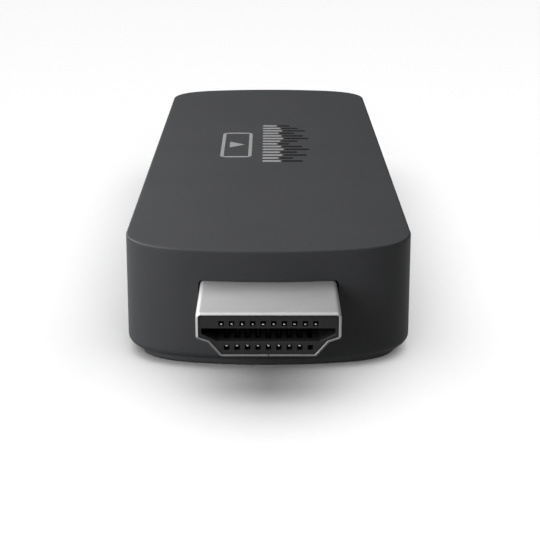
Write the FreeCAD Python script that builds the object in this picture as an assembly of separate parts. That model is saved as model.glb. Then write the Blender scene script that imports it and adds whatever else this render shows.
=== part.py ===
import FreeCAD, Part
import math
import os

# Streaming media player: a moulded stick with a fixed audio/video plug at its front end and a
# power inlet in one long side. Millimetres. X runs across, the plug faces -Y and Z is up. The
# origin is the middle of the underside of the whole object's box.

V = FreeCAD.Vector

# Housing. Length and width are those of the top face; the walls flare out below it.
housing_length = 85.9
housing_width = 30.0
housing_height = 13.0
draft = math.tan(math.radians(0.56))
wall = 1.8
roof = 1.3
top_rounding = 0.2
rim_height = 1.05
rim_rounding = 0.8

# Plan of both ends: a wide bow, a shoulder and a tight corner, each tangent to the next.
bow_radius = 48.5
shoulder_radius = 12.0
corner_radius = 5.7
corner_start = math.radians(26.5)

# Base cover: an inset plate, a skirt inside the walls and snap ridges on the skirt.
base_thickness = 1.8
rim_wall = 1.1
cover_clearance = 0.1
skirt_wall = 0.8
skirt_height = 2.2
foot_rounding = 0.4
snap_length = 5.0
snap_height = 0.7
snap_depth = 0.35
snap_spacing = 22.0

# Audio/video plug, a standard 19-place type. Drops are measured down from the shell's top.
plug_reach = 8.8
plug_drop = 3.3
plug_length = 14.4
shell_thickness = 0.25
shell_height = 4.52
shell_half_width = 6.95
shoulder_half_width = 5.78
foot_half_width = 4.57
side_drop = 2.66
shoulder_drop = 3.08
shell_corner = 0.5
shell_bend = 0.35
lip_rounding = 0.18
seam_gap = 0.1
window_clearance = 0.2
window_top_clearance = 0.05
face_recess = 0.12
slot_depth = 6.0
slot_middle_drop = 2.28
slot_half_height = 0.66
slot_half_width = 6.4
slot_straight = 0.55
slot_foot_half_width = 4.88
contact_pitch = 1.0
contact_width = 0.25
contact_thickness = 0.2
upper_contact_drop = 1.255
lower_contact_drop = 3.43
hole_size = 0.52
upper_hole_drop = 1.11
lower_hole_drop = 3.56
bridge_length = 0.9
tip_recess = 0.15
upper_places = 10
lower_places = 9
empty_lower_place = 8
carrier_length = 3.0
tail_length = 1.6
tab_length = 2.4
tab_height = 1.3

# Main board, clamped between posts of the two covers.
board_thickness = 1.0
board_clearance = 0.5
plug_to_board = 0.5
post_radius = 1.2
post_inset = 1.5
pin_radius = 0.6
pin_clearance = 0.07
pin_reach = 0.9
front_post_setback = 4.5
rear_post_setback = 16.9

# Power inlet, a standard five-contact type, hung under the board and facing -X.
inlet_from_rear = 24.0
inlet_half_width = 3.75
inlet_height = 2.6
inlet_depth = 5.0
inlet_mouth_inset = 0.6
inlet_sheet = 0.25
inlet_corner = 0.4
inlet_bevel = 1.0
inlet_window_clearance = 0.25
inlet_base = 1.2
tongue_half_width = 1.95
tongue_thickness = 0.6
tongue_setback = 0.8
inlet_pitch = 0.65
inlet_contact_width = 0.35
inlet_contact_thickness = 0.15
inlet_places = 5

# Shields, pads and heat spreaders, stacked outwards from each face of the board.
shield_half_width = 9.4
shield_setback = 7.6
upper_shield_length = 46.0
lower_shield_length = 38.0
frame_height = 1.5
shield_sheet = 0.2
shield_flange = 0.8
shield_corner = 0.6
lid_gap = 0.03
lid_skirt = 1.0
upper_pad_thickness = 0.5
spreader_thickness = 1.0
spreader_corner = 1.5
base_rib_height = 1.5
rib_thickness = 1.0
rib_spacing = 12.0
pad_margin = 2.0

# Packages on the board.
processor_side = 14.0
processor_height = 1.0
memory_size = (11.0, 9.0, 0.9)
storage_size = (11.5, 13.0, 1.0)
wireless_size = (8.0, 8.0, 0.9)
power_size = (6.0, 6.0, 0.8)
inductor_size = (2.5, 2.0, 1.2)
crystal_size = (3.2, 2.5, 0.7)
passive_size = (1.0, 0.5, 0.45)
protector_size = (2.5, 1.0, 0.5)
package_gap = 1.6

# Antennas at the rear end, folded from sheet over a plastic carrier on the board.
antenna_length = 9.5
antenna_rear_gap = 0.5
carrier_height = 3.0
carrier_wall = 1.0
antenna_sheet = 0.15
antenna_strip = 1.6
antenna_gap = 1.2
spring_height = 0.6

# Levels and places that follow from the sizes above.
overall_length = plug_reach + housing_length + (housing_height - rim_height - rim_rounding) * draft
front_y = plug_reach - overall_length / 2
rear_y = front_y + housing_length
half_width = housing_width / 2
plug_top = housing_height - plug_drop
plug_front = front_y - plug_reach
plug_rear = plug_front + plug_length
slot_middle = plug_top - slot_middle_drop
board_top = plug_top - shell_height / 2 + board_thickness / 2
board_bottom = board_top - board_thickness
board_front = plug_rear + plug_to_board
board_half_width = half_width - wall - board_clearance
post_x = board_half_width - post_inset
post_ys = (board_front + front_post_setback, rear_y - rear_post_setback)
ceiling = housing_height - roof
lid_top = frame_height + shield_sheet
shield_front = board_front + shield_setback
processor_y = shield_front + shield_sheet + package_gap + processor_side / 2
inlet_y = rear_y - inlet_from_rear
inlet_mouth = -half_width + inlet_mouth_inset
antenna_front = rear_y - wall - antenna_rear_gap - antenna_length


def flare(z):
    """How far the drafted wall stands outside the top face's outline at height z."""
    return (housing_height - z) * draft


def outline(grow, z):
    """Plan of the housing at height z, moved outwards by grow, as a closed wire."""
    bow_reach = half_width - corner_radius - (shoulder_radius - corner_radius) * math.sin(corner_start)
    bow_turn = math.asin(bow_reach / (bow_radius - shoulder_radius))
    bow_y = housing_length / 2 - bow_radius
    shoulder_y = bow_y + (bow_radius - shoulder_radius) * math.cos(bow_turn)
    corner_y = shoulder_y + (shoulder_radius - corner_radius) * math.cos(corner_start)
    corner_x = half_width - corner_radius
    arcs = [
        (0, bow_y, bow_radius, -bow_turn, bow_turn),
        (bow_reach, shoulder_y, shoulder_radius, bow_turn, corner_start),
        (corner_x, corner_y, corner_radius, corner_start, math.pi / 2),
        (corner_x, -corner_y, corner_radius, math.pi / 2, math.pi - corner_start),
        (bow_reach, -shoulder_y, shoulder_radius, math.pi - corner_start, math.pi - bow_turn),
    ]
    edges = []
    for x, y, radius, start, end in arcs:
        reach = radius + grow
        turns = (start, (start + end) / 2, end)
        edges.append(Part.Arc(*[V(x + reach * math.sin(t), y + reach * math.cos(t), z) for t in turns]).toShape())
    side_x = half_width + grow
    edges.insert(3, Part.makeLine(V(side_x, corner_y, z), V(side_x, -corner_y, z)))
    edges += [edge.rotated(V(0, 0, 0), V(0, 0, 1), 180) for edge in edges]
    return Part.Wire(edges).translated(V(0, (front_y + rear_y) / 2, 0))


def slab(grow, low, high):
    """Block with the housing's plan, moved outwards by grow, between two heights."""
    return Part.Face(outline(grow, low)).extrude(V(0, 0, high - low))


def box(x, y, z):
    """Block from a (low, high) pair on each axis."""
    return Part.makeBox(x[1] - x[0], y[1] - y[0], z[1] - z[0], V(x[0], y[0], z[0]))


def block(x, y, size):
    """Block centred on x and y that stands on z = 0."""
    return Part.makeBox(size[0], size[1], size[2], V(x - size[0] / 2, y - size[1] / 2, 0))


def right_normal(start, end):
    """Unit vector to the right of the way from start to end."""
    length = math.dist(start, end)
    return ((end[1] - start[1]) / length, (start[0] - end[0]) / length)


def shifted(points, distance, closed):
    """The points of a path moved to its right by distance, with mitred corners."""
    moved = []
    last = len(points) - 1
    for index, (u, v) in enumerate(points):
        normals = []
        if closed or index > 0:
            normals.append(right_normal(points[index - 1], (u, v)))
        if closed or index < last:
            normals.append(right_normal((u, v), points[(index + 1) % (last + 1)]))
        first, second = normals[0], normals[-1]
        mitre = distance / (1 + first[0] * second[0] + first[1] * second[1])
        moved.append((u + (first[0] + second[0]) * mitre, v + (first[1] + second[1]) * mitre))
    return moved


def rounded_wire(points, radii, place):
    """Closed wire through counter-clockwise points, each corner rounded by its own radius."""
    edges = []
    ends = []
    for index, corner in enumerate(points):
        before = right_normal(points[index - 1], corner)
        after = right_normal(corner, points[(index + 1) % len(points)])
        turn = math.acos(min(1, before[0] * after[0] + before[1] * after[1]))
        cut = radii[index] * math.tan(turn / 2)
        start = (corner[0] + before[1] * cut, corner[1] - before[0] * cut)
        end = (corner[0] - after[1] * cut, corner[1] + after[0] * cut)
        if radii[index] > 0:
            bisector = (before[0] + after[0], before[1] + after[1])
            side = 1 if before[0] * after[1] - before[1] * after[0] > 0 else -1
            sag = side * radii[index] * (1 / math.cos(turn / 2) - 1) / math.hypot(*bisector)
            middle = (corner[0] - bisector[0] * sag, corner[1] - bisector[1] * sag)
            edges.append(Part.Arc(place(start), place(middle), place(end)).toShape())
        ends.append((start, end))
    for index, (start, end) in enumerate(ends):
        edges.append(Part.makeLine(place(ends[index - 1][1]), place(start)))
    return Part.Wire(Part.__sortEdges__(edges))


def rounded_block(x_half, y_range, low, high, radius):
    """Block centred on x = 0 with rounded upright edges."""
    points = [(x_half, y_range[0]), (x_half, y_range[1]), (-x_half, y_range[1]), (-x_half, y_range[0])]
    wire = rounded_wire(points, [radius] * 4, lambda p: V(p[0], p[1], low))
    return Part.Face(wire).extrude(V(0, 0, high - low))


def rounded(solid, radius, z):
    """The solid with every edge that lies at height z rounded."""
    edges = [edge for edge in solid.Edges if all(abs(vertex.Z - z) < 1e-6 for vertex in edge.Vertexes)]
    return solid.makeFillet(radius, edges)


def bent_strip(points, thickness, x, width):
    """Flat strip of sheet along points in the YZ plane, mitred at its bends and centred on x."""
    edge = shifted(points, thickness / 2, False) + shifted(points, -thickness / 2, False)[::-1]
    corners = [V(x - width / 2, y, z) for y, z in edge]
    return Part.Face(Part.makePolygon(corners + corners[:1])).extrude(V(width, 0, 0))


def on_board(shape, side):
    """Shape modelled on z = 0, put on the board's upper face (side 1) or lower face (side -1)."""
    if side > 0:
        return shape.translated(V(0, 0, board_top))
    return shape.mirror(V(0, 0, 0), V(0, 0, 1)).translated(V(0, 0, board_bottom))


# ---------------------------------------------------------------- covers

def plug_prism(grow, start, end):
    """The plug shell's outline, moved outwards by grow, between two places along Y."""
    right = [(shell_half_width, 0), (shell_half_width, -side_drop)]
    right += [(shoulder_half_width, -shoulder_drop), (foot_half_width, -shell_height)]
    points = [(-x, z) for x, z in right] + right[::-1]
    points = shifted(points, grow, True)
    convex = [shell_corner + grow, shell_bend + grow, shell_bend - grow, shell_bend + grow]
    radii = [max(radius, 0) for radius in convex + convex[::-1]]
    wire = rounded_wire(points, radii, lambda p: V(p[0], start, plug_top + p[1]))
    return Part.Face(wire).extrude(V(0, end - start, 0))


def inlet_prism(grow, start, end):
    """The power inlet shell's outline, moved outwards by grow, between two places along X."""
    middle = inlet_half_width
    points = [(-middle, 0), (-middle, -inlet_height + inlet_bevel), (-middle + inlet_bevel, -inlet_height)]
    points += [(-y, z) for y, z in points[::-1]]
    radii = [inlet_corner + grow] * len(points)
    wire = rounded_wire(shifted(points, grow, True), radii, lambda p: V(start, inlet_y + p[0], board_bottom + p[1]))
    return Part.Face(wire).extrude(V(end - start, 0, 0))


def snap_ridges(depth, height, length):
    """Six ridges on the long sides, rising outwards from just inside the skirt's face."""
    face = half_width - wall - cover_clearance
    top = base_thickness + skirt_height
    ridges = []
    for side in (-1, 1):
        for step in (-1, 0, 1):
            y = (front_y + rear_y) / 2 + step * snap_spacing
            inner, outer = side * (face - skirt_wall / 2), side * (face + depth)
            corners = [V(inner, y - length / 2, top), V(side * face, y - length / 2, top)]
            corners += [V(outer, y - length / 2, top - height / 2), V(outer, y - length / 2, top - height)]
            corners += [V(inner, y - length / 2, top - height)]
            ridges.append(Part.Face(Part.makePolygon(corners + corners[:1])).extrude(V(0, length, 0)))
    return ridges


def posts(radius, low, high):
    """Four upright posts at the board's corners."""
    return [Part.makeCylinder(radius, high - low, V(side * post_x, y, low)) for side in (-1, 1) for y in post_ys]


def cross_ribs(width, low, high):
    """Three ribs across the housing that bear on a heat spreader."""
    middle = shield_front + lower_shield_length / 2
    ribs = []
    for step in (-1, 0, 1):
        y = middle + step * rib_spacing
        ribs.append(box((-width, width), (y - rib_thickness / 2, y + rib_thickness / 2), (low, high)))
    return ribs


def top_cover():
    outer = Part.makeLoft([outline(flare(rim_height), rim_height), outline(0, housing_height)], True, True)
    outer = rounded(rounded(outer, top_rounding, housing_height), rim_rounding, rim_height)
    cover = outer.cut(slab(-wall, rim_height - 1, ceiling)).cut(slab(-rim_wall, rim_height - 1, base_thickness))
    spreader_top = board_top + lid_top + upper_pad_thickness + spreader_thickness
    inner_half = half_width - wall
    cover = cover.fuse(posts(post_radius, board_top, ceiling) + cross_ribs(inner_half, spreader_top, ceiling))
    pocket = snap_ridges(snap_depth + cover_clearance, snap_height + 2 * cover_clearance,
                         snap_length + 2 * cover_clearance)
    bores = posts(pin_radius + pin_clearance, board_top, board_top + pin_reach + pin_clearance)
    window = plug_prism(window_clearance, front_y - wall, front_y + 2 * wall)
    above = box((-housing_width, housing_width), (front_y - wall, front_y + 2 * wall),
                (plug_top + window_top_clearance, housing_height))
    cover = cover.cut([window.cut(above)] + bores)
    pocket = [ridge.translated(V(0, 0, cover_clearance)) for ridge in pocket]
    cover = cover.cut(pocket + [inlet_prism(inlet_window_clearance, -half_width - wall, -half_width + 2 * wall)])
    return cover.removeSplitter()


def base_cover():
    plate = rounded(slab(-rim_wall - cover_clearance, 0, base_thickness), foot_rounding, 0)
    skirt_top = base_thickness + skirt_height
    skirt = slab(-wall - cover_clearance, base_thickness, skirt_top)
    skirt = skirt.cut(slab(-wall - cover_clearance - skirt_wall, base_thickness, skirt_top))
    rib_top = base_thickness + base_rib_height
    ribs = cross_ribs(half_width - wall - cover_clearance - skirt_wall / 2, base_thickness, rib_top)
    pins = posts(pin_radius, board_bottom - pin_radius, board_top + pin_reach)
    cover = plate.fuse([skirt] + ribs + posts(post_radius, base_thickness, board_bottom) + pins)
    return cover.fuse(snap_ridges(snap_depth, snap_height, snap_length)).removeSplitter()


# ---------------------------------------------------------------- audio/video plug

def plug_shell():
    shell = plug_prism(0, plug_front, plug_rear)
    lip = [edge for edge in shell.Edges if all(abs(vertex.Y - plug_front) < 1e-6 for vertex in edge.Vertexes)]
    shell = shell.makeFillet(lip_rounding, lip)
    shell = shell.cut(plug_prism(-shell_thickness, plug_front - 1, plug_rear + 1))
    seam = box((-seam_gap / 2, seam_gap / 2), (plug_front - 1, plug_rear + 1),
               (plug_top - shell_height - 1, plug_top - shell_height + shell_thickness + 0.1))
    tabs = []
    for side in (-1, 1):
        x_pair = sorted((side * shell_half_width, side * (shell_half_width - shell_thickness)))
        tabs.append(box(x_pair, (plug_rear - 1, board_front + tab_length), (board_top, board_top + tab_height)))
    return shell.cut(seam).fuse(tabs).removeSplitter()


def contact_places(count):
    """Places across the plug of one row of contacts."""
    return [(index - (count - 1) / 2) * contact_pitch for index in range(count)]


def contact_path(side):
    """Middle line, in the YZ plane, of a contact of the upper (1) or lower (-1) row."""
    face = plug_front + face_recess
    channel = plug_top - (upper_contact_drop if side > 0 else lower_contact_drop)
    spring = slot_middle + side * (slot_half_height - contact_thickness / 2)
    pad = (board_top if side > 0 else board_bottom) + side * contact_thickness / 2
    carrier_end = plug_rear - shell_thickness
    return [(face + tip_recess, channel), (face + bridge_length + contact_thickness, channel),
            (face + slot_depth / 2, spring), (face + slot_depth - 2 * contact_thickness, channel),
            (carrier_end, channel), (board_front + contact_thickness, pad), (board_front + tail_length, pad)]


def contact_row(side, places):
    """One row of bent contacts."""
    return [bent_strip(contact_path(side), contact_thickness, x, contact_width) for x in places]


def upper_contacts():
    return contact_row(1, contact_places(upper_places))


def lower_contacts():
    places = contact_places(lower_places)
    del places[empty_lower_place]
    return contact_row(-1, places)


def plug_insulator():
    face = plug_front + face_recess
    back = plug_rear - shell_thickness - carrier_length
    body = plug_prism(-shell_thickness, face, back)
    top, bottom = slot_middle + slot_half_height, slot_middle - slot_half_height
    corners = [(-slot_half_width, top), (-slot_half_width, top - slot_straight), (-slot_foot_half_width, bottom)]
    corners += [(-x, z) for x, z in corners[::-1]]
    points = [V(x, face, z) for x, z in corners]
    body = body.cut(Part.Face(Part.makePolygon(points + points[:1])).extrude(V(0, slot_depth, 0)))
    cuts = []
    for side, count, drop in ((1, upper_places, upper_hole_drop), (-1, lower_places, lower_hole_drop)):
        hole = plug_top - drop
        opening = sorted((slot_middle + side * slot_half_height, hole))
        for x in contact_places(count):
            across = (x - hole_size / 2, x + hole_size / 2)
            cuts.append(box(across, (face, back), (hole - hole_size / 2, hole + hole_size / 2)))
            cuts.append(box(across, (face + bridge_length, face + slot_depth), opening))
    return body.cut(cuts).removeSplitter()


def plug_contact_carrier():
    end = plug_rear - shell_thickness
    return plug_prism(-shell_thickness, end - carrier_length, end).cut(upper_contacts() + lower_contacts())


# ---------------------------------------------------------------- power inlet

def inlet_shell():
    back = inlet_mouth + inlet_depth
    shell = inlet_prism(0, inlet_mouth, back)
    return shell.cut(inlet_prism(-inlet_sheet, inlet_mouth - 1, back + 1))


def inlet_contacts():
    """Five strips along the tongue's upper face, stepped up to the board behind the inlet."""
    tongue_top = board_bottom - inlet_height / 2 + tongue_thickness / 2
    level = tongue_top + inlet_contact_thickness / 2
    pad = board_bottom - inlet_contact_thickness / 2
    back = inlet_mouth + inlet_depth
    rise = 2 * inlet_contact_thickness
    path = [(inlet_mouth + tongue_setback + rise, level), (back + rise, level), (back + 2 * rise, pad),
            (back + 5 * rise, pad)]
    strips = []
    for index in range(inlet_places):
        y = inlet_y + (index - (inlet_places - 1) / 2) * inlet_pitch
        strip = bent_strip(path, inlet_contact_thickness, 0, inlet_contact_width)
        strip.rotate(V(0, 0, 0), V(0, 0, 1), -90)
        strips.append(strip.translated(V(0, y, 0)))
    return strips


def inlet_insulator():
    back = inlet_mouth + inlet_depth
    middle = board_bottom - inlet_height / 2
    tongue = box((inlet_mouth + tongue_setback, back), (inlet_y - tongue_half_width, inlet_y + tongue_half_width),
                 (middle - tongue_thickness / 2, middle + tongue_thickness / 2))
    body = inlet_prism(-inlet_sheet, back - inlet_base, back).fuse(tongue)
    return body.cut(inlet_contacts()).removeSplitter()


# ---------------------------------------------------------------- board and packages

def main_board():
    board = slab(-wall - board_clearance, board_bottom, board_top)
    board = board.common(box((-housing_width, housing_width), (board_front, rear_y), (board_bottom, board_top)))
    return board.cut(posts(pin_radius + pin_clearance, board_bottom, board_top))


def package_y(order):
    """Middle along Y of the packages behind the processor, in order."""
    rows = (memory_size[1], power_size[1], wireless_size[1])
    start = processor_y + processor_side / 2 + package_gap
    return start + sum(rows[:order]) + order * package_gap + rows[order] / 2


def processor_package():
    return on_board(block(0, processor_y, (processor_side, processor_side, processor_height)), 1)


def memory_package():
    return on_board(block(0, package_y(0), memory_size), 1)


def power_management_package():
    x = power_size[0] / 2 - shield_half_width + package_gap
    return on_board(block(x, package_y(1), power_size), 1)


def wireless_package():
    return on_board(block(0, package_y(2), wireless_size), 1)


def storage_package():
    return on_board(block(0, shield_front + lower_shield_length / 2, storage_size), -1)


def power_inductors():
    """Four coils in a square beside the power management package."""
    pitch = inductor_size[0] + package_gap / 2
    first_x = power_size[0] - shield_half_width + 2 * package_gap + inductor_size[0] / 2
    chips = []
    for column in range(2):
        for row in (-1, 1):
            y = package_y(1) + row * (inductor_size[1] + package_gap / 2) / 2
            chips.append(on_board(block(first_x + column * pitch, y, inductor_size), 1))
    return chips


def crystals():
    """One crystal beside the wireless package and one on the underside."""
    x = wireless_size[0] / 2 + package_gap / 2 + crystal_size[1] / 2
    turned = (crystal_size[1], crystal_size[0], crystal_size[2])
    lower_y = shield_front + lower_shield_length / 2 + storage_size[1] / 2 + package_gap + crystal_size[1]
    return [on_board(block(x, package_y(2), turned), 1), on_board(block(0, lower_y, crystal_size), -1)]


def passives_beside(x, middle, length, side):
    """A row of small chips along Y on one side of a package."""
    pitch = passive_size[0]
    count = int(length / pitch / 1.2)
    return [on_board(block(x, middle + (index - (count - 1) / 2) * pitch * 1.2,
                           (passive_size[1], passive_size[0], passive_size[2])), side) for index in range(count)]


def ceramic_capacitors():
    """Rows of capacitors beside the processor and the storage package."""
    processor_x = (processor_side + package_gap) / 2
    storage_x = (storage_size[0] + package_gap) / 2
    storage_y = shield_front + lower_shield_length / 2
    chips = []
    for direction in (-1, 1):
        chips += passives_beside(direction * processor_x, processor_y, processor_side, 1)
        chips += passives_beside(direction * storage_x, storage_y, storage_size[1], -1)
    return chips


def resistors():
    """Rows of resistors beside the memory package, and behind the plug for its signal pairs."""
    chips = []
    for direction in (-1, 1):
        x = direction * (memory_size[0] + package_gap) / 2
        chips += passives_beside(x, package_y(0), memory_size[1], 1)
        x = direction * shell_half_width / 2
        chips += passives_beside(x, board_front + shield_setback / 2, shield_setback / 3, -1)
    return chips


def surge_protectors():
    """Three protectors in a row across the board between the plug and the upper shield."""
    y = board_front + shield_setback - package_gap
    pitch = protector_size[0] + package_gap
    return [on_board(block(step * pitch, y, protector_size), 1) for step in (-1, 0, 1)]


# ---------------------------------------------------------------- shields, pads and spreaders

def shield_range(length, grow):
    """Front and rear of a shield, moved outwards by grow."""
    return (shield_front - grow, shield_front + length + grow)


def shield_frame(length, side):
    """A fence of sheet around the packages, with an inward flange at its free edge."""
    def ring(grow, low, high):
        return rounded_block(shield_half_width + grow, shield_range(length, grow), low, high, shield_corner)
    fence = ring(0, 0, frame_height).cut(ring(-shield_sheet, -1, frame_height - shield_sheet))
    return on_board(fence.cut(ring(-shield_sheet - shield_flange, 0, frame_height + 1)), side)


def shield_lid(length, side):
    """A shallow tray of sheet pressed over the frame."""
    def tray(grow, low, high):
        return rounded_block(shield_half_width + grow, shield_range(length, grow), low, high, shield_corner + grow)
    lid = tray(lid_gap + shield_sheet, frame_height - lid_skirt, lid_top)
    return on_board(lid.cut(tray(lid_gap, frame_height - lid_skirt - 1, frame_height)), side)


def upper_shield_frame():
    return shield_frame(upper_shield_length, 1)


def upper_shield_lid():
    return shield_lid(upper_shield_length, 1)


def lower_shield_frame():
    return shield_frame(lower_shield_length, -1)


def lower_shield_lid():
    return shield_lid(lower_shield_length, -1)


def gap_pad(length, low, high):
    """Soft pad between a shield lid and its heat spreader."""
    return rounded_block(shield_half_width - pad_margin, shield_range(length, -pad_margin), low, high, shield_corner)


def processor_pad():
    side = processor_side - pad_margin
    pad = block(0, processor_y, (side, side, frame_height - processor_height))
    return on_board(pad, 1).translated(V(0, 0, processor_height))


def upper_spreader_pad():
    low = board_top + lid_top
    return gap_pad(upper_shield_length, low, low + upper_pad_thickness)


def lower_spreader_pad():
    low = base_thickness + base_rib_height + spreader_thickness
    return gap_pad(lower_shield_length, low, board_bottom - lid_top)


def upper_heat_spreader():
    low = board_top + lid_top + upper_pad_thickness
    y_range = (post_ys[0] + post_radius + board_clearance, post_ys[1] - post_radius - board_clearance)
    return rounded_block(board_half_width, y_range, low, low + spreader_thickness, spreader_corner)


def lower_heat_spreader():
    low = base_thickness + base_rib_height
    y_range = shield_range(lower_shield_length, lid_gap)
    return rounded_block(shield_half_width, y_range, low, low + spreader_thickness, spreader_corner)


# ---------------------------------------------------------------- antennas

def antenna_carrier():
    """A plastic bridge over the board's rear end that follows the housing's plan."""
    top = board_top + carrier_height
    reach = box((-half_width, half_width), (antenna_front, rear_y), (board_top, top))
    bridge = slab(-wall - antenna_rear_gap, board_top, top).common(reach)
    hollow = slab(-wall - antenna_rear_gap - carrier_wall, board_top, top - carrier_wall)
    return bridge.cut(hollow.common(reach))


def antenna(side):
    """A folded strip: along the carrier's top, back along its front edge and down to the board."""
    top = board_top + carrier_height
    far = board_half_width - antenna_gap - antenna_strip

    def strip(x_pair, y_pair, z_pair):
        return box(sorted(side * x for x in x_pair), y_pair, z_pair)
    level = (top, top + antenna_sheet)
    front = (antenna_front, antenna_front + antenna_strip)
    pieces = [strip((antenna_gap, far), (antenna_front - antenna_sheet, front[1]), level),
              strip((far - antenna_strip, far), (front[1], antenna_front + antenna_length / 2), level),
              strip((antenna_gap, antenna_gap + antenna_strip), (antenna_front - antenna_sheet, antenna_front),
                    (board_top + spring_height, top))]
    return pieces[0].fuse(pieces[1:]).removeSplitter()


def left_antenna():
    return antenna(-1)


def right_antenna():
    return antenna(1)


def antenna_spring_contacts():
    """Two folded springs on the board, one under each antenna's foot."""
    springs = []
    for side in (-1, 1):
        x = side * (antenna_gap + antenna_strip / 2)
        start = antenna_front - antenna_strip / 2
        low = board_top + antenna_sheet / 2
        high = board_top + spring_height - antenna_sheet / 2
        path = [(start + antenna_strip / 2, low), (start - antenna_strip / 2, low),
                (start - antenna_strip / 2, high), (start + antenna_strip / 2, high)]
        springs.append(bent_strip(path, antenna_sheet, x, antenna_strip / 2))
    return springs


nodes = {
    "top_cover": top_cover,
    "base_cover": base_cover,
    "plug_shell": plug_shell,
    "plug_insulator": plug_insulator,
    "plug_contact_carrier": plug_contact_carrier,
    "plug_contacts_upper": upper_contacts,
    "plug_contacts_lower": lower_contacts,
    "inlet_shell": inlet_shell,
    "inlet_insulator": inlet_insulator,
    "inlet_contacts": inlet_contacts,
    "main_board": main_board,
    "processor_package": processor_package,
    "memory_package": memory_package,
    "storage_package": storage_package,
    "wireless_package": wireless_package,
    "power_management_package": power_management_package,
    "power_inductors": power_inductors,
    "crystals": crystals,
    "ceramic_capacitors": ceramic_capacitors,
    "resistors": resistors,
    "surge_protectors": surge_protectors,
    "upper_shield_frame": upper_shield_frame,
    "upper_shield_lid": upper_shield_lid,
    "lower_shield_frame": lower_shield_frame,
    "lower_shield_lid": lower_shield_lid,
    "processor_pad": processor_pad,
    "upper_spreader_pad": upper_spreader_pad,
    "lower_spreader_pad": lower_spreader_pad,
    "upper_heat_spreader": upper_heat_spreader,
    "lower_heat_spreader": lower_heat_spreader,
    "antenna_carrier": antenna_carrier,
    "left_antenna": left_antenna,
    "right_antenna": right_antenna,
    "antenna_spring_contacts": antenna_spring_contacts,
}

os.makedirs("parts", exist_ok=True)
for name, make in nodes.items():
    shape = make()
    if isinstance(shape, list):
        shape = Part.makeCompound(shape)
    shape.exportStep("parts/" + name + ".step")
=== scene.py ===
import math

import bmesh
import bpy
from mathutils import Matrix, Vector


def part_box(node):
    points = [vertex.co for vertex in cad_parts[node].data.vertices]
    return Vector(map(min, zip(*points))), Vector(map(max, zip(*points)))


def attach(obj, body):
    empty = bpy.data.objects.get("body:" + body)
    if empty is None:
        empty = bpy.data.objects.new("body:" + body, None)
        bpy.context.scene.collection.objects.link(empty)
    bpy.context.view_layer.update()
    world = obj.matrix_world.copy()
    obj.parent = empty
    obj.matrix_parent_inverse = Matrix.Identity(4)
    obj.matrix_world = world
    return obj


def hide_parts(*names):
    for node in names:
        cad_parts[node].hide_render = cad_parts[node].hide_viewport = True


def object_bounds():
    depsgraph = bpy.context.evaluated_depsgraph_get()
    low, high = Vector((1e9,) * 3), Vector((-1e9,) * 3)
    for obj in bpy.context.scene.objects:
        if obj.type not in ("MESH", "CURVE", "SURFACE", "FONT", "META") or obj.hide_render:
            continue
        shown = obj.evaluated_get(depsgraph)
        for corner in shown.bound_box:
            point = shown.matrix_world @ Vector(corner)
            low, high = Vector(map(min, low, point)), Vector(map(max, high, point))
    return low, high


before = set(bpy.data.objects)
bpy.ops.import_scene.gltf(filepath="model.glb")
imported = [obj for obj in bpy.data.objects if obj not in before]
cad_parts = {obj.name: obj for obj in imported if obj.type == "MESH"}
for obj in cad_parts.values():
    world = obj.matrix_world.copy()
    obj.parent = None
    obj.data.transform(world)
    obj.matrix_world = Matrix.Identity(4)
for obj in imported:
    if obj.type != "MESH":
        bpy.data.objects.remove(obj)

cad_low, cad_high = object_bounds()
mm = 0.001

# ---------------------------------------------------------------- stage
# A pale seamless floor under a wide overhead softbox, with smaller softboxes on the left and the
# front left for the housing alone and a front fill for the floor alone. The camera looks down on
# the plug's end, level from side to side.

scene = bpy.context.scene
scene.view_settings.view_transform = "Standard"
camera_to_plug = 112.6 * mm
camera_above_top = 39.47 * mm
camera_pitch = math.radians(18.855)

camera_data = bpy.data.cameras.new("camera")
camera_data.sensor_width = 36
camera_data.lens = 84.85
camera_data.shift_x = 0.0028
camera_data.clip_start = 5 * mm
camera = bpy.data.objects.new("camera", camera_data)
camera.location = (0, cad_low.y - camera_to_plug, cad_high.z + camera_above_top)
camera.rotation_euler = (math.pi / 2 - camera_pitch, 0, 0)
scene.collection.objects.link(camera)
scene.camera = camera

world = bpy.data.worlds.new("fill")
world.use_nodes = True
world.node_tree.nodes["Background"].inputs["Color"].default_value = (1, 1, 1, 1)
world.node_tree.nodes["Background"].inputs["Strength"].default_value = 0.12
scene.world = world


def softbox(name, place, target, width, height, power, linked=None, link="EXCLUDE"):
    """Flat light at place that faces target; it leaves out a linked object, or lights only that."""
    lamp = bpy.data.lights.new(name, "AREA")
    lamp.shape = "RECTANGLE"
    lamp.size = width
    lamp.size_y = height
    lamp.energy = power
    holder = bpy.data.objects.new(name, lamp)
    holder.location = place
    holder.rotation_euler = (Vector(target) - Vector(place)).to_track_quat("-Z", "Y").to_euler()
    scene.collection.objects.link(holder)
    if linked:
        flagged = bpy.data.collections.new(name + "_links")
        flagged.objects.link(linked)
        flagged.collection_objects[0].light_linking.link_state = link
        holder.light_linking.receiver_collection = flagged


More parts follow.
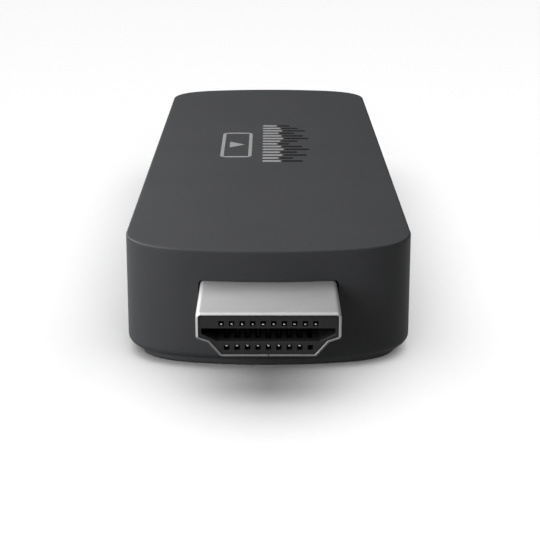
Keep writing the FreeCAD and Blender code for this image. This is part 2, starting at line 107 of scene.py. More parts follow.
floor_z = -0.01 * mm
floor_mesh = bpy.data.meshes.new("floor")
floor_corners = [(-8, -8, floor_z), (8, -8, floor_z), (8, 8, floor_z), (-8, 8, floor_z)]
floor_mesh.from_pydata(floor_corners, [], [(0, 1, 2, 3)])
floor = bpy.data.objects.new("floor", floor_mesh)
scene.collection.objects.link(floor)
floor_paper = bpy.data.materials.new("floor_paper")
floor_paper.use_nodes = True
floor_paper.node_tree.nodes["Principled BSDF"].inputs["Base Color"].default_value = (0.93, 0.93, 0.93, 1)
floor_paper.node_tree.nodes["Principled BSDF"].inputs["Roughness"].default_value = 0.9
floor_mesh.materials.append(floor_paper)
softbox("overhead_softbox", (0, 0.1, 1.2), (0, 0.08, 0), 2.4, 2.4, 28.5)
softbox("left_softbox", (-0.115, 0.01, 0.1), (0, 0.01, 0), 0.26, 0.08, 0.9, floor)
softbox("front_left_softbox", (-0.17, -0.2, 0.1), (0, -0.04, 0.006), 0.2, 0.14, 1.1, floor)
softbox("front_fill", (0, -0.8, 0.35), (0, -0.05, 0), 0.8, 0.4, 3, floor, "INCLUDE")


# ---------------------------------------------------------------- top cover
# The upper shell of the housing: one injection moulding in dark grey plastic with a fine sparked
# texture. Its plan is a wide bow, a shoulder and a corner at each end, and its walls flare out
# downwards. Posts and ribs hang from its roof; windows let the plug and the power inlet out.

cover_low, cover_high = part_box("top_cover")
board_low, board_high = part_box("main_board")
spreader_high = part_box("upper_heat_spreader")[1]
draft = math.tan(math.radians(0.56))
bow_radius, shoulder_radius, corner_radius = 48.5 * mm, 12 * mm, 5.7 * mm
corner_start = math.radians(26.5)
top_rounding, rim_rounding = 0.2 * mm, 0.8 * mm
wall, roof, rim_wall, ledge_z = 1.8 * mm, 1.3 * mm, 1.1 * mm, 1.8 * mm
clear = 0.004 * mm
top_z, rim_z = cover_high.z - 0.01 * mm, cover_low.z
widest = (top_z - rim_z - rim_rounding) * draft
half_width = cover_high.x - widest - clear
half_length = (cover_high.y - cover_low.y) / 2 - widest - clear
middle_y = (cover_high.y + cover_low.y) / 2
bow_reach = half_width - corner_radius - (shoulder_radius - corner_radius) * math.sin(corner_start)
bow_turn = math.asin(bow_reach / (bow_radius - shoulder_radius))
plug_top, plug_window, inlet_window = 9.7 * mm, 0.2 * mm, 0.25 * mm


def plan(grow, z):
    """Points round the housing's plan at height z, moved outwards by grow."""
    bow_y = half_length - bow_radius
    shoulder_y = bow_y + (bow_radius - shoulder_radius) * math.cos(bow_turn)
    corner_y = shoulder_y + (shoulder_radius - corner_radius) * math.cos(corner_start)
    corner_x = half_width - corner_radius
    arcs = [(0, bow_y, bow_radius, -bow_turn, bow_turn, 48),
            (bow_reach, shoulder_y, shoulder_radius, bow_turn, corner_start, 10),
            (corner_x, corner_y, corner_radius, corner_start, math.pi / 2, 20),
            (corner_x, -corner_y, corner_radius, math.pi / 2, math.pi - corner_start, 20),
            (bow_reach, -shoulder_y, shoulder_radius, math.pi - corner_start, math.pi - bow_turn, 10)]
    side_steps = 40
    half = []
    for x, y, radius, start, end, steps in arcs:
        if start == math.pi / 2:
            half += [(half_width + grow, corner_y * (1 - 2 * step / side_steps))
                     for step in range(side_steps)]
        for step in range(steps):
            turn = start + (end - start) * step / steps
            half.append((x + (radius + grow) * math.sin(turn), y + (radius + grow) * math.cos(turn)))
    return [(x, y + middle_y, z) for x, y in half] + [(-x, middle_y - y, z) for x, y in half]


def quarter(steps):
    """Angles from 0 to 90 degrees in even steps."""
    return [math.pi / 2 * step / steps for step in range(steps + 1)]


def skin(name, rings, capped=True):
    """Mesh over a row of closed rings with equal counts: capped at its ends, or joined end to start."""
    built = bmesh.new()
    rows = [[built.verts.new(point) for point in ring] for ring in rings]
    pairs = list(zip(rows, rows[1:])) if capped else list(zip(rows, rows[1:] + rows[:1]))
    count = len(rows[0])
    for row, following in pairs:
        for index in range(count):
            after = (index + 1) % count
            built.faces.new((row[index], row[after], following[after], following[index]))
    if capped:
        built.faces.new(rows[0])
        built.faces.new(rows[-1])
    bmesh.ops.recalc_face_normals(built, faces=built.faces)
    mesh = bpy.data.meshes.new(name)
    built.to_mesh(mesh)
    built.free()
    return mesh


def placed(name, mesh):
    """Object that shows the mesh, at the origin."""
    piece = bpy.data.objects.new(name, mesh)
    scene.collection.objects.link(piece)
    return piece


def smoothed(mesh, angle=30):
    """Smooth shading, with an edge kept sharp where its faces turn by more than the angle."""
    mesh.polygons.foreach_set("use_smooth", [True] * len(mesh.polygons))
    mesh.set_sharp_from_angle(angle=math.radians(angle))


def applied(piece):
    """The piece with its modifiers made part of its mesh."""
    result = bpy.data.meshes.new_from_object(piece.evaluated_get(bpy.context.evaluated_depsgraph_get()))
    piece.modifiers.clear()
    piece.data = result


def combined(piece, tool_mesh, operation):
    """Adds a closed mesh to the piece (UNION) or takes it away (DIFFERENCE)."""
    tool = placed("tool", tool_mesh)
    modifier = piece.modifiers.new("combine", "BOOLEAN")
    modifier.object = tool
    modifier.operation = operation
    modifier.solver = "EXACT"
    applied(piece)
    bpy.data.objects.remove(tool)


def right_normal(start, end):
    """Unit vector to the right of the way from start to end."""
    way = (Vector(end) - Vector(start)).normalized()
    return Vector((way.y, -way.x))


def rounded_outline(corners, radii, grow=0, steps=8):
    """Points round counter-clockwise corners moved outwards by grow, each rounded by its own radius."""
    points = []
    for index, corner in enumerate(corners):
        before = right_normal(corners[index - 1], corner)
        after = right_normal(corner, corners[(index + 1) % len(corners)])
        bend = 1 if before.cross(after) > 0 else -1
        moved = Vector(corner) + (before + after) * grow / (1 + before.dot(after))
        reach = bend * max(radii[index] + bend * grow, 0.01 * mm)
        centre = moved - (before + after) * reach / (1 + before.dot(after))
        turn = math.atan2(before.cross(after), before.dot(after))
        for step in range(steps + 1):
            points.append(centre + Matrix.Rotation(turn * step / steps, 2) @ before * reach)
    return points


def joined(name, parts):
    """One mesh of several meshes that don't touch each other."""
    built = bmesh.new()
    for part in parts:
        built.from_mesh(part)
    mesh = bpy.data.meshes.new(name)
    built.to_mesh(mesh)
    built.free()
    return mesh


def blocks(pairs):
    """One mesh of separate blocks, each from its low and high corners."""
    built = bmesh.new()
    for low, high in pairs:
        size = Vector(high) - Vector(low)
        middle = (Vector(high) + Vector(low)) / 2
        stretched = Matrix.Translation(middle) @ Matrix.Diagonal((*size, 1))
        bmesh.ops.create_cube(built, size=1, matrix=stretched)
    mesh = bpy.data.meshes.new("blocks")
    built.to_mesh(mesh)
    built.free()
    return mesh


def uprights(places, radius, low, high):
    """One mesh of upright cylinders at the given (x, y) places."""
    built = bmesh.new()
    for x, y in places:
        middle = Matrix.Translation((x, y, (low + high) / 2))
        bmesh.ops.create_cone(built, cap_ends=True, segments=40, radius1=radius, radius2=radius,
                              depth=high - low, matrix=middle)
    mesh = bpy.data.meshes.new("uprights")
    built.to_mesh(mesh)
    built.free()
    return mesh


plug_half = [(6.95, 0), (6.95, -2.66), (5.78, -3.08), (4.57, -4.52)]
plug_corners = [(-x * mm, plug_top + z * mm) for x, z in plug_half]
plug_corners += [(x * mm, plug_top + z * mm) for x, z in plug_half[::-1]]
plug_radii = [radius * mm for radius in (0.5, 0.35, 0.35, 0.35, 0.35, 0.35, 0.35, 0.5)]


def plug_ring(grow, y, ceiling=plug_top):
    """The plug shell's outline at y, moved outwards by grow and cut off at the ceiling."""
    return [(x, y, min(z, ceiling)) for x, z in rounded_outline(plug_corners, plug_radii, grow)]


inlet_low, inlet_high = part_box("inlet_shell")
inlet_y = (inlet_low.y + inlet_high.y) / 2
inlet_corners = [(-3.75, 0), (-3.75, -1.6), (-2.75, -2.6), (2.75, -2.6), (3.75, -1.6), (3.75, 0)]
inlet_corners = [(inlet_y + y * mm, inlet_high.z + z * mm) for y, z in inlet_corners]
inlet_radii = [0.4 * mm] * 6


def inlet_ring(grow, x):
    """The power inlet shell's outline at x, moved outwards by grow."""
    return [(x, y, z) for y, z in rounded_outline(inlet_corners, inlet_radii, grow)]


ceiling = cover_high.z - roof
rim_centre = widest - rim_rounding
cover_rings = [plan(-wall, ceiling), plan(-wall, ledge_z), plan(-rim_wall, ledge_z), plan(-rim_wall, rim_z)]
for turn in quarter(8):
    cover_rings.append(plan(rim_centre + rim_rounding * math.sin(turn),
                            rim_z + rim_rounding * (1 - math.cos(turn))))
for z in (rim_z + 1.4 * rim_rounding, top_z - 3 * top_rounding):
    cover_rings.append(plan((top_z - z) * draft, z))
for turn in quarter(6):
    cover_rings.append(plan(top_rounding * (math.cos(turn) - 1) + top_rounding * draft,
                            top_z - top_rounding * (1 - math.sin(turn))))
cover_rings.append(plan(-3 * top_rounding, top_z))
top_cover = placed("housing_top", skin("housing_top", cover_rings))

post_places = [(side * (cover_high.x - 4 * mm), y) for side in (-1, 1)
               for y in (board_low.y + 4.5 * mm, cover_high.y - 17 * mm)]
rib_ys = [board_low.y + 26.6 * mm + step * 12 * mm for step in (-1, 0, 1)]
ribs = blocks([((-13.5 * mm, y - 0.5 * mm, spreader_high.z), (13.5 * mm, y + 0.5 * mm, ceiling + 0.4 * mm))
               for y in rib_ys])
cover_posts = uprights(post_places, 1.2 * mm, board_high.z, ceiling + 0.4 * mm)
combined(top_cover, joined("stiffening", [ribs, cover_posts]), "UNION")
plug_prism = skin("plug_window", [plug_ring(plug_window, cover_low.y + reach, plug_top + 0.05 * mm)
                                  for reach in (-2 * mm, 5 * mm)])
inlet_prism = skin("inlet_window", [inlet_ring(inlet_window, cover_low.x + reach)
                                    for reach in (-2 * mm, 5 * mm)])
pin_holes = uprights(post_places, 0.67 * mm, board_high.z - 1 * mm, board_high.z + 0.97 * mm)
combined(top_cover, joined("openings", [plug_prism, inlet_prism, pin_holes]), "DIFFERENCE")
smoothed(top_cover.data)


def group_of(name, inputs, outputs):
    """Empty shader node group with named float inputs and outputs."""
    group = bpy.data.node_groups.new(name, "ShaderNodeTree")
    group.interface.new_socket("Place", in_out="INPUT", socket_type="NodeSocketVector")
    for label, value in inputs:
        socket = group.interface.new_socket(label, in_out="INPUT", socket_type="NodeSocketFloat")
        socket.default_value = value
    for label in outputs:
        group.interface.new_socket(label, in_out="OUTPUT", socket_type="NodeSocketFloat")
    return group, group.nodes.new("NodeGroupInput"), group.nodes.new("NodeGroupOutput")


# Sparked mould texture: grains of two sizes, and a slow drift of tone over the whole moulding.
mould_texture, given, result = group_of("mould_texture", [("Grain Size", 0.08 * mm)], ["Height", "Tone"])
spread = mould_texture.nodes.new("ShaderNodeMath")
spread.operation = "DIVIDE"
spread.inputs[0].default_value = 1
coarse = mould_texture.nodes.new("ShaderNodeTexNoise")
coarse.inputs["Detail"].default_value = 3
coarse.inputs["Roughness"].default_value = 0.6
cells = mould_texture.nodes.new("ShaderNodeTexVoronoi")
drift = mould_texture.nodes.new("ShaderNodeTexNoise")
drift.inputs["Scale"].default_value = 90
drift.inputs["Detail"].default_value = 2
sum_height = mould_texture.nodes.new("ShaderNodeMath")
sum_height.operation = "ADD"
sum_tone = mould_texture.nodes.new("ShaderNodeMath")
sum_tone.operation = "MULTIPLY"
mould_texture.links.new(given.outputs["Grain Size"], spread.inputs[1])
for node in (coarse, cells):
    mould_texture.links.new(given.outputs["Place"], node.inputs["Vector"])
    mould_texture.links.new(spread.outputs["Value"], node.inputs["Scale"])
mould_texture.links.new(given.outputs["Place"], drift.inputs["Vector"])
mould_texture.links.new(coarse.outputs["Fac"], sum_height.inputs[0])
mould_texture.links.new(cells.outputs["Distance"], sum_height.inputs[1])
mould_texture.links.new(coarse.outputs["Fac"], sum_tone.inputs[0])
mould_texture.links.new(drift.outputs["Fac"], sum_tone.inputs[1])
mould_texture.links.new(sum_height.outputs["Value"], result.inputs["Height"])
mould_texture.links.new(sum_tone.outputs["Value"], result.inputs["Tone"])


def finish(name, texture, sizes, dark, light, roughness, relief, metallic=0, specular=0.4):
    """Material whose colour and roughness drift between two values over a texture group's tone."""
    material = bpy.data.materials.new(name)
    material.use_nodes = True
    tree = material.node_tree
    shader = tree.nodes["Principled BSDF"]
    place = tree.nodes.new("ShaderNodeTexCoord")
    pattern = tree.nodes.new("ShaderNodeGroup")
    pattern.node_tree = texture
    for label, value in sizes.items():
        pattern.inputs[label].default_value = value
    colour = tree.nodes.new("ShaderNodeMix")
    colour.data_type = "RGBA"
    colour.inputs["A"].default_value = (*dark, 1)
    colour.inputs["B"].default_value = (*light, 1)
    rough = tree.nodes.new("ShaderNodeMapRange")
    rough.inputs["To Min"].default_value = roughness[0]
    rough.inputs["To Max"].default_value = roughness[1]
    bump = tree.nodes.new("ShaderNodeBump")
    bump.inputs["Strength"].default_value = relief[0]
    bump.inputs["Distance"].default_value = relief[1]
    shader.inputs["Metallic"].default_value = metallic
    shader.inputs["Specular IOR Level"].default_value = specular
    tree.links.new(place.outputs["Object"], pattern.inputs["Place"])
    tree.links.new(pattern.outputs["Tone"], colour.inputs["Factor"])
    tree.links.new(pattern.outputs["Tone"], rough.inputs["Value"])
    tree.links.new(pattern.outputs["Height"], bump.inputs["Height"])
    tree.links.new(colour.outputs["Result"], shader.inputs["Base Color"])
    tree.links.new(rough.outputs["Result"], shader.inputs["Roughness"])
    tree.links.new(bump.outputs["Normal"], shader.inputs["Normal"])
    return material


housing_plastic = finish("housing_plastic", mould_texture, {"Grain Size": 0.12 * mm}, (0.014, 0.0144, 0.0153),
                         (0.02, 0.0206, 0.0219), (0.55, 0.65), (0.25, 0.02 * mm), specular=0.1)
top_cover.data.materials.append(housing_plastic)
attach(top_cover, "root")
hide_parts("top_cover")

# ---------------------------------------------------------------- printed mark
# A pad-printed mark on the roof, a few micrometres of ink: an outlined screen with a play
# triangle, and a row of level bars with light feet and dark tops. It reads towards the plug.

ink_low, ink_high = top_z - 0.02 * mm, top_z + 0.006 * mm


def printed(name, outlines):
    """Thin mesh of ink over the given plan outlines, each a list of (x, y) in millimetres."""
    parts = [skin(name, [[(x * mm, y * mm, z) for x, y in outline] for z in (ink_low, ink_high)])
             for outline in outlines]
    return joined(name, parts)


def bar(x_low, x_high, y_low, y_high, radius=0.3):
    """Plan outline of a bar with rounded corners, in millimetres."""
    corners = [(x_low, y_low), (x_high, y_low), (x_high, y_high), (x_low, y_high)]
    return [point / mm for point in rounded_outline([Vector(c) * mm for c in corners], [radius * mm] * 4)]


screen = placed("screen_outline", printed("screen_outline", [bar(-6.3, -2.2, 0.8, 15.2, 1)]))
combined(screen, blocks([((-5.85 * mm, 1.4 * mm, ink_low - mm), (-2.65 * mm, 14.6 * mm, ink_high + mm))]),
         "DIFFERENCE")
bar_ys = [19.6 - 1.6 * index for index in range(14)]
feet = [1.2, 1.7, 1.9, 1.4, 1.8, 2.0, 1.6, 1.2, 1.7, 2.0, 1.5, 1.8, 1.3, 1.6]
tops = [3.0, 4.2, 5.2, 3.6, 4.8, 5.5, 4.0, 2.8, 4.5, 5.4, 3.8, 5.0, 3.2, 4.4]
light_outlines = [[(-5.2, 6.3), (-3.2, 8.0), (-5.2, 9.7)]]
light_outlines += [bar(-0.8, foot, y - 0.42, y + 0.42) for foot, y in zip(feet, bar_ys)]
dark_outlines = [bar(foot + 0.15, top, y - 0.42, y + 0.42) for foot, top, y in zip(feet, tops, bar_ys)]
light_ink = finish("light_ink", mould_texture, {"Grain Size": 0.3 * mm}, (0.09, 0.09, 0.09),
                   (0.12, 0.12, 0.12), (0.5, 0.6), (0.1, 0.01 * mm))
dark_ink = finish("dark_ink", mould_texture, {"Grain Size": 0.3 * mm}, (0.002, 0.002, 0.002),
                  (0.004, 0.004, 0.004), (0.5, 0.6), (0.1, 0.01 * mm), specular=0.05)
light_print = placed("light_print", joined("light_print", [screen.data, printed("marks", light_outlines)]))
bpy.data.objects.remove(screen)
dark_print = placed("dark_print", printed("dark_print", dark_outlines))
for piece, ink in ((light_print, light_ink), (dark_print, dark_ink)):
    piece.data.materials.clear()
    piece.data.materials.append(ink)
    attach(piece, "root")

# ---------------------------------------------------------------- base cover
# The tray that closes the housing from below, moulded in the same plastic: an inset plate with a
# rounded foot, a skirt inside the walls with snap ridges, ribs and posts with pins for the board.

base_grow, foot_rounding = -rim_wall - 0.1 * mm, 0.4 * mm
skirt_grow, skirt_wall, skirt_z = -wall - 0.1 * mm, 0.8 * mm, ledge_z + 2.2 * mm
base_rings = [plan(base_grow - 3 * foot_rounding, 0)]
for turn in quarter(6):
    base_rings.append(plan(base_grow - foot_rounding * (1 - math.sin(turn)),
                           foot_rounding * (1 - math.cos(turn))))
for grow, z in ((base_grow, 2.5 * foot_rounding), (base_grow, ledge_z), (skirt_grow, ledge_z),
                (skirt_grow, skirt_z), (skirt_grow - skirt_wall, skirt_z),
                (skirt_grow - skirt_wall, ledge_z)):
    base_rings.append(plan(grow, z))
base = placed("housing_base", skin("housing_base", base_rings))
rest_ribs = blocks([((-12.7 * mm, y - 0.5 * mm, ledge_z - 0.3 * mm),
                     (12.7 * mm, y + 0.5 * mm, ledge_z + 1.5 * mm)) for y in rib_ys])
snap_face = half_width + skirt_grow
snaps = []
for side in (-1, 1):
    for step in (-1, 0, 1):
        corners = [(-0.3, 0), (0, 0), (0.35, -0.35), (0.35, -0.7), (-0.3, -0.7)]
        corners = [(side * (snap_face + x * mm), skirt_z + z * mm) for x, z in corners]
        y = middle_y + step * 22 * mm
        snaps.append(skin("snap", [[(x, end, z) for x, z in corners]
                                   for end in (y - 2.5 * mm, y + 2.5 * mm)]))
board_posts = uprights(post_places, 1.2 * mm, ledge_z - 0.3 * mm, board_low.z)
board_pins = uprights(post_places, 0.6 * mm, board_low.z - 0.6 * mm, board_high.z + 0.9 * mm)
combined(base, joined("rests", [rest_ribs, board_posts]), "UNION")
combined(base, joined("catches", [board_pins] + snaps), "UNION")
smoothed(base.data)
base_plastic = finish("base_plastic", mould_texture, {"Grain Size": 0.12 * mm}, (0.013, 0.0134, 0.0143),
                      (0.019, 0.0195, 0.0208), (0.55, 0.65), (0.25, 0.02 * mm))
base.data.materials.append(base_plastic)
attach(base, "root")
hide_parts("base_cover")

# ---------------------------------------------------------------- plug shell
# The plug's shell, folded from nickel-plated steel sheet: its edges meet in a seam along the
# bottom, its front lip is rounded over with painted shade (a darker metal) on its lower part, and
# two tabs at its rear are soldered to the board.

plug_low, plug_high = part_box("plug_shell")
insulator_low, insulator_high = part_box("plug_insulator")
carrier_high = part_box("plug_contact_carrier")[1]
sheet, lip, inner_lip = 0.25 * mm, 0.22 * mm, 0.02 * mm
lip_depth = 1.4 * lip
shell_front, shell_rear = plug_low.y + clear, carrier_high.y + sheet
shell_rings = []
for turn in quarter(7):
    shell_rings.append(plug_ring(-lip * (1 - math.sin(turn)), shell_front + lip_depth * (1 - math.cos(turn))))
for y in (shell_front + 3 * lip, shell_rear - 0.3 * mm, shell_rear):
    shell_rings.append(plug_ring(0, y))
for y in (shell_rear, shell_rear - 0.3 * mm, shell_front + 6 * inner_lip):
    shell_rings.append(plug_ring(-sheet, y))
for turn in quarter(4)[::-1]:
    shell_rings.append(plug_ring(inner_lip * (1 - math.sin(turn)) - sheet,
                                 shell_front + inner_lip * (1 - math.cos(turn))))
shell = placed("plug_sleeve", skin("plug_sleeve", shell_rings, capped=False))
tab_x = 6.95 * mm - clear
tab_front, tab_rear, tab_top = shell_rear - 1 * mm, plug_high.y - clear, board_high.z + 1.3 * mm
combined(shell, blocks([((low_x, tab_front, board_high.z), (low_x + sheet, tab_rear, tab_top))
                        for low_x in (-tab_x, tab_x - sheet)]), "UNION")
combined(shell, blocks([((-0.05 * mm, shell_front - 1 * mm, plug_low.z - 1 * mm),
                         (0.05 * mm, shell_rear + 1 * mm, plug_low.z + 0.5 * mm))]), "DIFFERENCE")
smoothed(shell.data)

# Rolling grain: long faint scratches along Y and a slow drift of tone across the sheet.
sheet_grain, given, result = group_of("sheet_grain", [("Stretch", 20.0), ("Grain Size", 0.05 * mm)],
                                      ["Height", "Tone"])
spread = sheet_grain.nodes.new("ShaderNodeMath")
spread.operation = "DIVIDE"
spread.inputs[0].default_value = 1
lengthen = sheet_grain.nodes.new("ShaderNodeMath")
lengthen.operation = "DIVIDE"
lengthen.inputs[0].default_value = 1
direction = sheet_grain.nodes.new("ShaderNodeCombineXYZ")
direction.inputs["X"].default_value = 1
direction.inputs["Z"].default_value = 1
drawn = sheet_grain.nodes.new("ShaderNodeVectorMath")
drawn.operation = "MULTIPLY"
lines = sheet_grain.nodes.new("ShaderNodeTexNoise")
lines.inputs["Detail"].default_value = 4
lines.inputs["Roughness"].default_value = 0.65
drift = sheet_grain.nodes.new("ShaderNodeTexNoise")
drift.inputs["Scale"].default_value = 250
mixed = sheet_grain.nodes.new("ShaderNodeMath")
mixed.operation = "MULTIPLY"
sheet_grain.links.new(given.outputs["Stretch"], lengthen.inputs[1])
sheet_grain.links.new(given.outputs["Grain Size"], spread.inputs[1])
sheet_grain.links.new(lengthen.outputs["Value"], direction.inputs["Y"])
sheet_grain.links.new(given.outputs["Place"], drawn.inputs[0])
sheet_grain.links.new(direction.outputs["Vector"], drawn.inputs[1])
sheet_grain.links.new(drawn.outputs["Vector"], lines.inputs["Vector"])
sheet_grain.links.new(spread.outputs["Value"], lines.inputs["Scale"])
sheet_grain.links.new(given.outputs["Place"], drift.inputs["Vector"])
sheet_grain.links.new(lines.outputs["Fac"], mixed.inputs[0])
sheet_grain.links.new(drift.outputs["Fac"], mixed.inputs[1])
sheet_grain.links.new(lines.outputs["Fac"], result.inputs["Height"])
sheet_grain.links.new(mixed.outputs["Value"], result.inputs["Tone"])

plug_steel = finish("plug_steel", sheet_grain, {"Stretch": 20, "Grain Size": 0.06 * mm}, (0.27, 0.27, 0.27),
                    (0.34, 0.34, 0.34), (0.55, 0.62), (0.15, 0.004 * mm), metallic=1)
# A darker copy of the plug steel: painted shade for the lip's downward-facing faces.
plug_lip_painted_shade = finish("plug_lip_painted_shade", sheet_grain, {"Stretch": 4, "Grain Size": 0.05 * mm}, (0.1, 0.1, 0.1),
                   (0.15, 0.15, 0.15), (0.5, 0.6), (0.15, 0.004 * mm), metallic=1)
shell.data.materials.append(plug_steel)
shell.data.materials.append(plug_lip_painted_shade)
# Painted shade: lip faces near the front that turn downwards take the darker metal, standing in for the shade
# they catch.
for polygon in shell.data.polygons:
    painted_shade_face = polygon.center.y < shell_front + lip and polygon.normal.y < -0.5 and polygon.normal.z < -0.05
    polygon.material_index = int(painted_shade_face)
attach(shell, "root")
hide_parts("plug_shell")

# ---------------------------------------------------------------- plug insulator and carrier
# Black moulded nylon. The insulator fills the shell's mouth, with a slot for the socket's tongue
# and a small hole for each contact's tip; the carrier behind it grips the contacts.

face = insulator_low.y + clear
fit = 0.01 * mm
insulator_rings = []
for turn in quarter(4):
    insulator_rings.append(plug_ring(-sheet - fit - 0.06 * mm * (1 - math.sin(turn)),
                                     face + 0.06 * mm * (1 - math.cos(turn))))
insulator_rings.append(plug_ring(-sheet - fit, insulator_high.y - clear))
insulator = placed("insulator", skin("insulator", insulator_rings))
slot_middle, slot_half_height, slot_depth = plug_top - 2.28 * mm, 0.66 * mm, 6 * mm
slot_top, slot_bottom = slot_middle + slot_half_height, slot_middle - slot_half_height
slot_corners = [(-6.4 * mm, slot_top), (-6.4 * mm, slot_top - 0.55 * mm), (-4.88 * mm, slot_bottom),
                (4.88 * mm, slot_bottom), (6.4 * mm, slot_top - 0.55 * mm), (6.4 * mm, slot_top)]


def slot_ring(grow, y):
    """The tongue slot's outline at y, moved outwards by grow."""
    return [(x, y, z) for x, z in rounded_outline(slot_corners, [0.08 * mm] * 6, grow, 4)]


slot_rings = [slot_ring(grow, face + reach)
              for grow, reach in ((0.1 * mm, -0.05 * mm), (0, 0.05 * mm), (0, slot_depth))]
combined(insulator, skin("slot", slot_rings), "DIFFERENCE")
hole, hole_depth, upper_hole_drop, lower_hole_drop = 0.26 * mm, 0.9 * mm, 1.11 * mm, 3.56 * mm
openings = []
for side, count, drop in ((1, 10, upper_hole_drop), (-1, 9, lower_hole_drop)):
    z = plug_top - drop
    near, far = sorted((slot_middle + side * 0.5 * mm, z + side * hole))
    for index in range(count):
        x = (index - (count - 1) / 2) * mm
        openings.append(((x - hole, face - 1 * mm, z - hole), (x + hole, face + hole_depth, z + hole)))
        openings.append(((x - hole, face + hole_depth, near), (x + hole, face + slot_depth, far)))
combined(insulator, blocks(openings[::2]), "DIFFERENCE")
combined(insulator, blocks(openings[1::2]), "DIFFERENCE")
smoothed(insulator.data)
plug_plastic = finish("plug_plastic", mould_texture, {"Grain Size": 0.1 * mm}, (0.005, 0.005, 0.005),
                      (0.009, 0.009, 0.009), (0.55, 0.65), (0.15, 0.008 * mm), specular=0.15)
insulator.data.materials.append(plug_plastic)
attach(insulator, "root")
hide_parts("plug_insulator")
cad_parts["plug_contact_carrier"].material_slots[0].material = plug_plastic

# ---------------------------------------------------------------- plug contacts
# Strips stamped from copper alloy sheet and plated, ten in the upper row and eight in the lower.
# Each runs from a tip behind its hole through a spring bow in the slot to a foot on the board.

contact_metal = finish("contact_gold", sheet_grain, {"Stretch": 12, "Grain Size": 0.04 * mm},
                       (0.5, 0.48, 0.44), (0.64, 0.62, 0.58), (0.25, 0.36), (0.1, 0.003 * mm), metallic=1)
contact_width, contact_thickness, bow_rise = 0.25 * mm, 0.2 * mm, 0.56 * mm
upper_contact_drop, lower_contact_drop = 1.255 * mm, 3.43 * mm

row_tree = bpy.data.node_groups.new("contact_row", "GeometryNodeTree")
row_tree.interface.new_socket("Geometry", in_out="OUTPUT", socket_type="NodeSocketGeometry")
contact_socket = row_tree.interface.new_socket("Contact", in_out="INPUT", socket_type="NodeSocketObject")
count_socket = row_tree.interface.new_socket("Count", in_out="INPUT", socket_type="NodeSocketInt")
pitch_socket = row_tree.interface.new_socket("Pitch", in_out="INPUT", socket_type="NodeSocketFloat")
start_socket = row_tree.interface.new_socket("First Place", in_out="INPUT", socket_type="NodeSocketFloat")
metal_socket = row_tree.interface.new_socket("Metal", in_out="INPUT", socket_type="NodeSocketMaterial")
row_in = row_tree.nodes.new("NodeGroupInput")
row_out = row_tree.nodes.new("NodeGroupOutput")
first_place = row_tree.nodes.new("ShaderNodeCombineXYZ")
step_along = row_tree.nodes.new("ShaderNodeCombineXYZ")
row_line = row_tree.nodes.new("GeometryNodeMeshLine")
one_contact = row_tree.nodes.new("GeometryNodeObjectInfo")
instances = row_tree.nodes.new("GeometryNodeInstanceOnPoints")
realized = row_tree.nodes.new("GeometryNodeRealizeInstances")
coated = row_tree.nodes.new("GeometryNodeSetMaterial")
row_tree.links.new(row_in.outputs["First Place"], first_place.inputs["X"])
row_tree.links.new(row_in.outputs["Pitch"], step_along.inputs["X"])
row_tree.links.new(row_in.outputs["Count"], row_line.inputs["Count"])
row_tree.links.new(first_place.outputs["Vector"], row_line.inputs["Start Location"])
row_tree.links.new(step_along.outputs["Vector"], row_line.inputs["Offset"])
row_tree.links.new(row_in.outputs["Contact"], one_contact.inputs["Object"])
row_tree.links.new(row_line.outputs["Mesh"], instances.inputs["Points"])
row_tree.links.new(one_contact.outputs["Geometry"], instances.inputs["Instance"])
row_tree.links.new(instances.outputs["Instances"], realized.inputs["Geometry"])
row_tree.links.new(realized.outputs["Geometry"], coated.inputs["Geometry"])
row_tree.links.new(row_in.outputs["Metal"], coated.inputs["Material"])
row_tree.links.new(coated.outputs["Geometry"], row_out.inputs["Geometry"])


def strip_rings(path, width, thickness, edge):
    """Rings of a flat strip along (y, z) points, with edges rounded and a rounded start and end."""
    rings = []
    last = len(path) - 1
    for index, point in enumerate(path):
        before = (Vector(point) - Vector(path[max(index - 1, 0)])).normalized()
        after = (Vector(path[min(index + 1, last)]) - Vector(point)).normalized()
        way = (before + after).normalized()
        lift = Vector((-way.y, way.x)) / max(math.cos(before.angle(after, 0) / 2), 0.5)
        inset = edge if index in (0, last) else 0
        half, tall = width / 2 - inset, thickness / 2 - inset
        corners = [(-half, -tall), (half, -tall), (half, tall), (-half, tall)]
        section = rounded_outline(corners, [max(edge - inset, 0.002 * mm)] * 4, 0, 3)
        rings.append([(x, point[0] + lift.x * u, point[1] + lift.y * u) for x, u in section])
    return rings


def contact_path(side):
    """Middle line (y, z) of a contact of the upper (1) or lower (-1) row."""
    channel = plug_top - (upper_contact_drop if side > 0 else lower_contact_drop)
    bow = slot_middle + side * bow_rise
    pad = (board_high.z if side > 0 else board_low.z) + side * contact_thickness / 2
    tip = face + 0.15 * mm
    bends = [(tip + 0.05 * mm, channel), (face + 1.12 * mm, channel), (face + 3 * mm, bow),
             (face + 5.56 * mm, channel), (carrier_high.y, channel),
             (board_low.y + contact_thickness, pad), (board_low.y + 1.6 * mm - 0.05 * mm, pad)]
    path = [(tip, channel)]
    for index, bend in enumerate(bends):
        if 0 < index < len(bends) - 1:
            toward = (Vector(bends[index - 1]) - Vector(bend)).normalized() * 0.2 * mm
            onward = (Vector(bends[index + 1]) - Vector(bend)).normalized() * 0.2 * mm
            path += [Vector(bend) + toward, Vector(bend) + (toward + onward) * 0.25, Vector(bend) + onward]
        else:
            path.append(bend)
    return path + [(board_low.y + 1.6 * mm, pad)]


